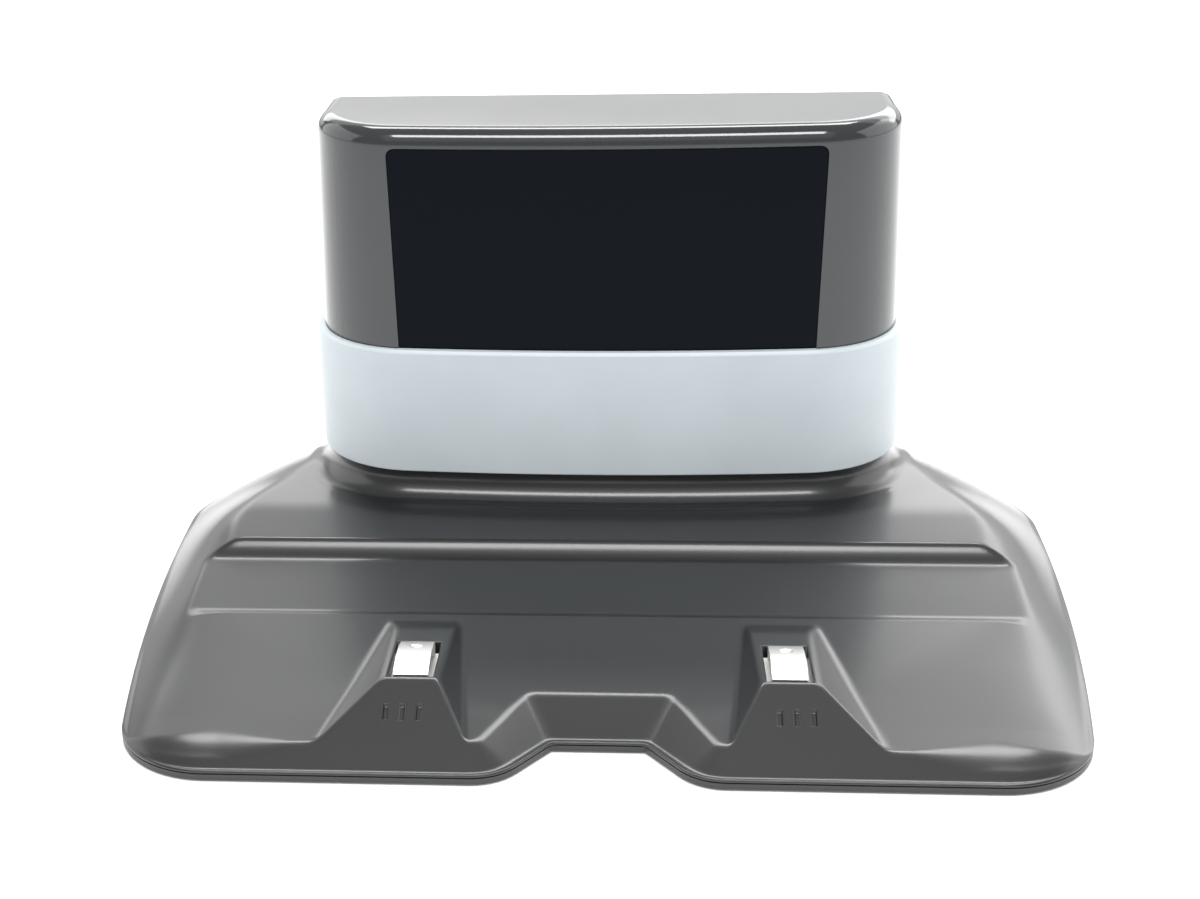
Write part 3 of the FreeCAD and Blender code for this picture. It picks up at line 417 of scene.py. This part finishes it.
# Flare of the cover: swept round the neck and run out under the floor, with the neck's short wall above it.
BAND_Z = 29.2
q = np.concatenate([[0, 0], FLARE * (1 - np.cos(np.linspace(0, math.pi / 2, 16))),
                    np.linspace(FLARE, FLARE_END, 13)[1:]])
foot_x, foot_d = tower_line(FOOT_HALF + q, FOOT_FRONT - q, FOOT_R + q, FOOT_BOW + q)
foot_z = with_foot(foot_x, foot_d, np.repeat(q[None], len(foot_x), 0))
foot_z[:, 0], foot_z[:, 1] = BAND_Z, NECK_Z + 0.8
flare = lay(foot_x, foot_d, foot_z)

# Underside lip of the cover and the low wall of its rim, both along the edge of the plan.
LIP_IN = 1.8
loop = np.concatenate([np.stack([plan_x[0], plan_d[0]], -1),
                       np.stack([plan_x[1:-1, -1], plan_d[1:-1, -1]], -1),
                       np.stack([plan_x[-1, ::-1], plan_d[-1, ::-1]], -1),
                       np.stack([plan_x[-2:0:-1, 0], plan_d[-2:0:-1, 0]], -1)])
way = np.roll(loop, -1, 0) - np.roll(loop, 1, 0)
way = way / np.linalg.norm(way, axis=1)[:, None]
inward = loop + np.stack([-way[:, 1], way[:, 0]], -1) * LIP_IN
lip = lay(np.stack([loop[:, 0], inward[:, 0]], 1), np.stack([loop[:, 1], inward[:, 1]], 1),
          np.full((len(loop), 2), RIM_Z), wrap=True)
brink = [np.concatenate([a[::-1, 0], a[0, 1:], a[1:, -1]]) for a in (plan_x, plan_d, plan_z)]
edge_wall = lay(np.repeat(brink[0][:, None], 2, 1), np.repeat(brink[1][:, None], 2, 1),
                np.stack([brink[2], np.full_like(brink[2], RIM_Z)], 1))

# Back wall of the cover, in two halves beside a panel with the round, softly edged hole of the power inlet.
INLET_Z, INLET_R, PANEL_HALF = 15.4, 4.8, 8.0
wall_x = np.repeat(np.linspace(PANEL_HALF, BACK_X, 100)[:, None], 9, 1)
wall_d = np.full_like(wall_x, DEEP)
wall_q = wall_x - FOOT_HALF
wall_top = np.where(wall_q < 0, BAND_Z, with_foot(wall_x, wall_d, np.maximum(wall_q, 0)))
wall_z = RIM_Z + (wall_top - RIM_Z) * np.linspace(0, 1, 9)
up_turn, low_turn = math.atan2(BAND_Z - INLET_Z, PANEL_HALF), math.atan2(INLET_Z - RIM_Z, PANEL_HALF)
stops = [-low_turn, up_turn, math.pi - up_turn, math.pi + low_turn, 2 * math.pi - low_turn]
around = np.concatenate([np.linspace(a, b, 19)[:-1] for a, b in zip(stops, stops[1:])])[::-1]
panel_tall = np.where(np.sin(around) > 0, BAND_Z - INLET_Z, INLET_Z - RIM_Z)
panel = 1 / np.maximum(np.abs(np.cos(around)) / PANEL_HALF, np.abs(np.sin(around)) / panel_tall)
mouth = INLET_R + np.array([0.0, 0.0, 0.09, 0.3, 0.5])
mouth_d = DEEP - np.array([2.4, 0.3, 0.09, 0.0, 0.0, 0.0])
reach = np.concatenate([np.repeat(mouth[None], len(around), 0), panel[:, None]], 1)
inlet = lay(reach * np.cos(around)[:, None], np.repeat(mouth_d[None], len(around), 0),
            INLET_Z + reach * np.sin(around)[:, None], wrap=True)
back_walls = [lay(wall_x, wall_d, wall_z), lay(-wall_x[::-1], wall_d, wall_z[::-1])]

# Sleeves of the contact slots, then the whole cover in satin black under a soft sheen.
side_d = np.linspace(SLOT_D - SLOT_LONG, SLOT_D + SLOT_LONG, 24)
end_x = np.linspace(SLOT_X - SLOT_HALF, SLOT_X + SLOT_HALF, 14)
hole = np.concatenate([np.stack([0 * side_d + end_x[0], side_d], 1), np.stack([end_x, 0 * end_x + side_d[-1]], 1),
                       np.stack([0 * side_d + end_x[-1], side_d[::-1]], 1),
                       np.stack([end_x[::-1], 0 * end_x + side_d[0]], 1)])
sleeve_down = np.array([0, 0.8, 2.4, 5.0])
sleeves = []
for side in (-1, 1):
    hole_x, hole_d = np.repeat(side * hole[::side, :1], 4, 1), np.repeat(hole[::side, 1:], 4, 1)
    sleeves.append(lay(hole_x, hole_d, base_height(hole_x, hole_d) - sleeve_down, wrap=True))
base_black = plastic("base_black", (0.010, 0.0105, 0.0115), 0.44, 0.08, 1900.0, 3.0e-5, 0.26)
base_gloss = base_black.node_tree.nodes["Principled BSDF"].inputs
base_gloss["Coat Weight"].default_value = 0.7
base_gloss["Coat Roughness"].default_value = 0.21
cover = join("base_skin", [field, flare, lip, edge_wall, *back_walls, inlet, *sleeves], base_black)
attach(cover, "dock")
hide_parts("base_cover")


# Trim band: a satin light grey strip round the front and sides of the tower.
# Moulded in coloured plastic, pressed over the neck of the base, with a chamfer on its upper edge.
def turned(radius, steps):
    """Way in and way along of a quarter round: r (1 - cos a), r (1 - sin a)."""
    a = np.linspace(0, math.pi / 2, steps)
    return radius * (1 - np.cos(a)), radius * (1 - np.sin(a))


BAND_HALF, BAND_FRONT, BAND_R, BAND_BOW = 95.0, 132.77, 34.5, 780.0
BAND_TOP, BAND_T = 70.0, 3.0
soft_in, soft_up = turned(0.35, 6)
band_in = np.concatenate([[BAND_T], soft_in[::-1], [0.0, 0.0, 0.05, 0.85], [0.9, 1.0, BAND_T]])
band_z = np.concatenate([[BAND_Z], BAND_Z + soft_up[::-1], [BAND_Z + 0.5],
                         BAND_TOP - np.array([1.1, 0.88, 0.08, 0.02, 0.0, 0.0])])
band_x, band_d = tower_line(BAND_HALF - band_in, BAND_FRONT + band_in, BAND_R - band_in, BAND_BOW - band_in)
band_z = np.repeat(band_z[None], len(band_x), 0)
ends = [lay(np.array([[x0, x0], [x1, x1]]), np.full((2, 2), DEEP), np.array([[BAND_Z, BAND_TOP], [BAND_Z, BAND_TOP]]))
        for x0, x1 in ((-BAND_HALF, BAND_T - BAND_HALF), (BAND_HALF - BAND_T, BAND_HALF))]
band_grey = plastic("band_grey", (0.50, 0.555, 0.585), 0.42, 0.08, 3200.0, 1.0e-5)
band = join("band_skin", [lay(band_x[::-1], band_d[::-1], band_z)] + ends, band_grey)
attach(band, "dock")
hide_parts("trim_band")

# Tower shell: a high gloss black cap, drafted and rounded over the top, that stands in the band.
# Polished tool faces give it a clear mirror finish with hardly any grain.
SHELL_HALF, SHELL_FRONT, SHELL_R, SHELL_BOW = 92.8, 134.97, 32.3, 777.8
SHELL_T, DRAFT_SIDE, DRAFT_FRONT, DRAFT_R = 2.4, 1.7, 1.8, 2.0
SHELL_TALL = TOP_Z - BAND_TOP
TOP_R = 5.2
PANE_HALF, PANE_WIDER, PANE_TALL = 65.0, 1.5, 62.6
PANE_R, PANE_ROUND_Z = 3.0, 130.1
PANE_ROW = 44


def pane_half(z):
    """Half width of the window opening, its upper corners rounded."""
    straight = PANE_HALF + PANE_WIDER * (z - BAND_TOP) / PANE_TALL
    return straight - PANE_R + np.sqrt(PANE_R ** 2 - np.clip(z - PANE_ROUND_Z, 0, PANE_R) ** 2)


def shell_line(z, into):
    """Plan line of the shell; the draft leans sides and front inwards with height."""
    k = (z - BAND_TOP) / SHELL_TALL
    return tower_line(SHELL_HALF - DRAFT_SIDE * k - into, SHELL_FRONT + DRAFT_FRONT * k + into,
                      SHELL_R - DRAFT_R * k - into, SHELL_BOW - into, pane_half(z))


top_in, top_up = turned(TOP_R, 15)
pane_round = PANE_ROUND_Z + PANE_R * np.sin(np.radians(np.linspace(0, 90, 9)[1:]))
wall_up = np.concatenate([np.linspace(BAND_TOP, PANE_ROUND_Z, 12), pane_round])
shell_z = np.concatenate([wall_up, TOP_Z - top_up, [TOP_Z]])
shell_in = np.concatenate([0 * wall_up, top_in, [TOP_R + 0.1]])
shell_x, shell_d = shell_line(shell_z, shell_in)
shell_x = np.concatenate([shell_x, 0.6 * shell_x[:, -1:]], 1)
shell_d = np.concatenate([shell_d, np.full((len(shell_d), 1), DEEP)], 1)
shell_z = np.repeat(np.append(shell_z, TOP_Z)[None], len(shell_x), 0)
middle = len(shell_x) // 2
row = np.abs(np.arange(len(shell_x)) - middle)[:, None] + 0 * shell_x
opening = (row <= PANE_ROW) & (shell_z < PANE_ROUND_Z + PANE_R + 0.01)
outside = lay(shell_x[::-1], shell_d[::-1], shell_z, ~cells(opening))

# Edge of the shell's window opening: up one side, across the top and down the other, rounded and turned inwards.
LIP_R, LIP_DEEP = 0.35, 1.4
side_up, top_col = np.arange(len(wall_up)), len(wall_up) - 1
across = np.arange(middle - PANE_ROW + 1, middle + PANE_ROW)
edge_x, edge_d = (np.concatenate([a[middle - PANE_ROW, side_up], a[across, top_col],
                                  a[middle + PANE_ROW, side_up[::-1]]]) for a in (shell_x, shell_d))
edge_z = np.concatenate([wall_up, np.full(len(across), wall_up[-1]), wall_up[::-1]])
run = np.stack([np.gradient(edge_x), np.gradient(edge_z)], -1)
run = run / np.linalg.norm(run, axis=1)[:, None]
lip_up, lip_in = turned(LIP_R, 6)
reach_in = np.append(LIP_R - lip_in, LIP_R)
depth_in = np.append(lip_up, LIP_DEEP)
edge = lay(edge_x[:, None] + run[:, 1:] * reach_in, edge_d[:, None] + depth_in,
           edge_z[:, None] - run[:, :1] * reach_in)

# Rim round the back of the shell, as wide as its wall, and the first of the inside behind it.
INSIDE_D = 5.0
inner_r = TOP_R - SHELL_T
rear_z = np.concatenate([[BAND_TOP], TOP_Z - top_up])
lean = DRAFT_SIDE * (rear_z - BAND_TOP) / SHELL_TALL
rear_x = SHELL_HALF - lean - np.append(0, top_in)
within_z = np.concatenate([[BAND_TOP], TOP_Z - TOP_R + inner_r * (1 - top_up / TOP_R)])
within_x = SHELL_HALF - SHELL_T - lean - np.append(0, top_in * inner_r / TOP_R)
rim_x = np.stack([np.concatenate([rear_x, -rear_x[::-1]]), np.concatenate([within_x, -within_x[::-1]])], 1)
rim_z = np.stack([np.concatenate([rear_z, rear_z[::-1]]), np.concatenate([within_z, within_z[::-1]])], 1)
rim = lay(rim_x[::-1], np.full_like(rim_x, DEEP), rim_z[::-1])
inside = lay(np.repeat(rim_x[::-1, 1:], 2, 1), np.repeat([[DEEP, DEEP - INSIDE_D]], len(rim_x), 0),
             np.repeat(rim_z[::-1, 1:], 2, 1))
shell_black = plastic("shell_black", (0.030, 0.033, 0.035), 0.08, 0.03, 420.0, 1.0e-6)
shell = join("shell_skin", [outside, edge, rim, inside], shell_black)
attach(shell, "dock")
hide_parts("tower_shell")

# Window: a deep black infrared-pass pane, set a little behind the front of the shell.
# Dyed acrylic, polished, that looks black to the eye.
window_black = plastic("window_black", (0.001, 0.003, 0.006), 0.03, 0.02, 300.0, 5e-7, 0.05)
dress("ir_window", window_black)

# Rear cover: a flat panel in satin black that closes the tower from behind.
# Four screws hold it to the shell, and long posts on it carry the signal board.
rear_black = plastic("rear_black", (0.016, 0.0165, 0.0175), 0.42, 0.12, 2200.0, 2.2e-5, 0.25)
dress("rear_cover", rear_black)


# Signal board: green glass laminate, upright behind the window on posts of the rear cover.
# Three smoky epoxy emitters shine through a black moulded hood, and a small white lamp sits below them.
def finish(node, tone, gloss):
    """Dresses an inner node in a finely grained finish of its own."""
    return dress(node, plastic(node + "_finish", tone, gloss, 0.1, 1800.0, 1.5e-5))


board_green = (0.02, 0.12, 0.05)
finish("signal_board", board_green, 0.4)
moulded_black = (0.012, 0.012, 0.012)
finish("emitter_hood", moulded_black, 0.6)
for place in ("left", "middle", "right"):
    finish("emitter_" + place, (0.03, 0.02, 0.04), 0.15)
finish("status_lamp", (0.8, 0.8, 0.75), 0.3)

# Main board: the same laminate, lying on four posts of the bottom plate.
# It carries the black moulded power inlet, whose mouth shows in the back wall.
finish("main_board", board_green, 0.4)
finish("dc_jack", moulded_black, 0.5)

# Link between the boards: a white flat cable, plugged into a nylon socket on each board.
# The two leads to the contacts are insulated wires, red on the left and black on the right.
finish("board_link", (0.75, 0.75, 0.72), 0.5)
for end in ("low", "high"):
    finish("link_socket_" + end, (0.75, 0.74, 0.68), 0.5)
finish("lead_left", (0.45, 0.02, 0.02), 0.5)
finish("lead_right", (0.015, 0.015, 0.015), 0.5)

# Contact holders: black moulded boxes under the mounds that guide the contacts.
# Each has a floor for the contact's spring to stand on.
for side in ("left", "right"):
    finish("contact_holder_" + side, moulded_black, 0.5)


# Charging contacts: bowed strips of nickel-plated steel, one on each mound.
# Each stands on a stop plate that a small coil spring presses upwards; the inlet's pin has the same plating.
def metal(name, tone, gloss):
    """Plain metal with a faint drift of gloss."""
    made = plastic(name, tone, gloss, 0.12, 900.0, 2e-6)
    made.node_tree.nodes["Principled BSDF"].inputs["Metallic"].default_value = 1.0
    return made


nickel = metal("contact_nickel", (0.78, 0.77, 0.745), 0.36)
for side in ("left", "right"):
    dress("contact_" + side, nickel)
dress("dc_pin", nickel)

# Screws: zinc-plated steel with cross recesses.
# They hold the bottom plate, the rear cover and the two boards.
steel = metal("screw_steel", (0.30, 0.30, 0.31), 0.42)
for group in ("base", "rear", "signal", "main"):
    dress(group + "_screws", steel)

# Contact springs: coils of drawn steel wire, one in each holder under the contact's stop plate.
# The coil shortens as its contact is pressed down; here a round wire is swept along a helix as tall as the spring's
# part.
WIRE_R, COIL_TURNS, COIL_STEPS = 0.3, 4.0, 145
wind = np.concatenate([[0], np.linspace(0, 1, COIL_STEPS), [1]])
thick = np.concatenate([[0], np.full(COIL_STEPS, WIRE_R), [0]])
ring = np.radians(np.arange(0, 360, 30.0))[:, None]
turn = 2 * math.pi * COIL_TURNS * wind
for side in ("left", "right"):
    foot, head = 1000 * np.array(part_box("contact_spring_" + side))
    centre, tall = (foot + head) / 2, head[2] - foot[2]
    away = (head[0] - foot[0]) / 2 - WIRE_R + thick * np.cos(ring)
    up = foot[2] + WIRE_R + (tall - 2 * WIRE_R) * wind + thick * np.sin(ring)
    wire = lay(centre[0] + away * np.cos(turn), centre[1] + DEEP / 2 + away * np.sin(turn), up, wrap=True)
    spring = join("spring_" + side, [wire], steel)
    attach(spring, "dock")
    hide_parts("contact_spring_" + side)
    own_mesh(spring)

# Floor: a white sheet that keeps the object's shadow, and fades to plain white away from it.
# The camera and mirror rays see it lifted a little; it lights the object only by what it reflects.
FLOOR_HALF = 4.0
floor_mesh = bpy.data.meshes.new("floor")
floor_mesh.from_pydata([(x * FLOOR_HALF, y * FLOOR_HALF, 0) for x, y in ((-1, -1), (1, -1), (1, 1), (-1, 1))],
                       [], [(0, 1, 2, 3)])
floor = bpy.data.objects.new("floor", floor_mesh)
bpy.context.scene.collection.objects.link(floor)
floor_white = bpy.data.materials.new("floor_white")
floor_white.use_nodes = True
n, l = floor_white.node_tree.nodes, floor_white.node_tree.links
n.clear()
matt = n.new("ShaderNodeBsdfDiffuse")
matt.inputs["Color"].default_value = (0.8, 0.8, 0.8, 1)
glow = n.new("ShaderNodeEmission")
ray = n.new("ShaderNodeLightPath")
spot = n.new("ShaderNodeTexCoord")
far = n.new("ShaderNodeVectorMath")
far.operation = "LENGTH"
l.new(spot.outputs["Object"], far.inputs[0])
fade = n.new("ShaderNodeMapRange")
for name, value in (("From Min", 0.9), ("From Max", 2.2), ("To Min", 0.12), ("To Max", 1.0)):
    fade.inputs[name].default_value = value
l.new(far.outputs["Value"], fade.inputs["Value"])
seen = n.new("ShaderNodeMath")
seen.operation = "MULTIPLY"
l.new(ray.outputs["Is Camera Ray"], seen.inputs[0])
l.new(fade.outputs["Result"], seen.inputs[1])
level = n.new("ShaderNodeMath")
level.operation = "MULTIPLY_ADD"
level.inputs[1].default_value = 0.6
l.new(ray.outputs["Is Glossy Ray"], level.inputs[0])
l.new(seen.outputs[0], level.inputs[2])
l.new(level.outputs[0], glow.inputs["Strength"])
both = n.new("ShaderNodeAddShader")
l.new(matt.outputs[0], both.inputs[0])
l.new(glow.outputs[0], both.inputs[1])
out = n.new("ShaderNodeOutputMaterial")
l.new(both.outputs[0], out.inputs["Surface"])
floor_mesh.materials.append(floor_white)

# Surround: an even white world, weak as a light and plain white to the camera.
WORLD_LIGHT = 0.35
world = bpy.data.worlds.new("studio")
world.use_nodes = True
n, l = world.node_tree.nodes, world.node_tree.links
n["Background"].inputs["Color"].default_value = (1, 1, 1, 1)
ray = n.new("ShaderNodeLightPath")
level = n.new("ShaderNodeMath")
level.operation = "MULTIPLY_ADD"
level.inputs[1].default_value = 1 - WORLD_LIGHT
level.inputs[2].default_value = WORLD_LIGHT
l.new(ray.outputs["Is Camera Ray"], level.inputs[0])
l.new(level.outputs[0], n["Background"].inputs["Strength"])
bpy.context.scene.world = world


# Lights: broad soft cards behind and beside the dock for its sheen, a strip and a weak fill from the front.
def softbox(name, place, target, wide, high, watts):
    """Rectangular area light aimed at a point."""
    light = bpy.data.lights.new(name, "AREA")
    light.shape = "RECTANGLE"
    light.size, light.size_y, light.energy = wide, high, watts
    lamp = bpy.data.objects.new(name, light)
    bpy.context.scene.collection.objects.link(lamp)
    lamp.location = place
    lamp.rotation_euler = (Vector(target) - Vector(place)).to_track_quat("-Z", "Y").to_euler()
    return lamp


softbox("back_card_low", (0.0, 1.67, 0.38), (0, 0, 0.05), 3.0, 0.42, 4.5)
softbox("back_card", (0.25, 1.55, 0.74), (0.0, 0, 0.05), 3.2, 0.42, 15.0)
softbox("right_card", (0.75, 1.2, 0.75), (0.1, 0, 0.05), 1.1, 0.62, 4.0)
softbox("high_card", (0.25, 1.24, 1.21), (0.0, 0, 0.05), 3.2, 0.72, 6.5)
softbox("top_card", (0.0, 0.8, 1.32), (0, 0, 0.05), 1.2, 0.35, 18.0)
softbox("side_card_left", (-1.3, 0.3, 0.55), (0, 0, 0.05), 1.6, 1.0, 9.0)
softbox("side_card_right", (1.3, 0.3, 0.55), (0, 0, 0.05), 1.6, 1.0, 10.5)
softbox("overhead_strip", (0.0, -0.62, 1.15), (0, 0.05, 0.05), 0.9, 0.3, 16.0)
softbox("front_fill", (0.0, -1.2, 1.3), (0, 0, 0.05), 2.0, 1.2, 4.0)

# Camera: from the front and above, nearly square on, fitted to the edges in the photograph.
camera = bpy.data.cameras.new("camera")
camera.sensor_width, camera.lens = 36.0, 54.0
camera.clip_start, camera.clip_end = 0.02, 20.0
camera.shift_x, camera.shift_y = 0.0778, -0.0023
viewer = bpy.data.objects.new("camera", camera)
bpy.context.scene.collection.objects.link(viewer)
viewer.matrix_world = Matrix((
    (0.99738, -0.00472, 0.07219, 0.00979),
    (0.06841, 0.38602, -0.91995, -0.48357),
    (-0.02353, 0.92248, 0.38533, 0.25790),
    (0, 0, 0, 1)))
bpy.context.scene.camera = viewer
bpy.context.scene.view_settings.view_transform = "Standard"
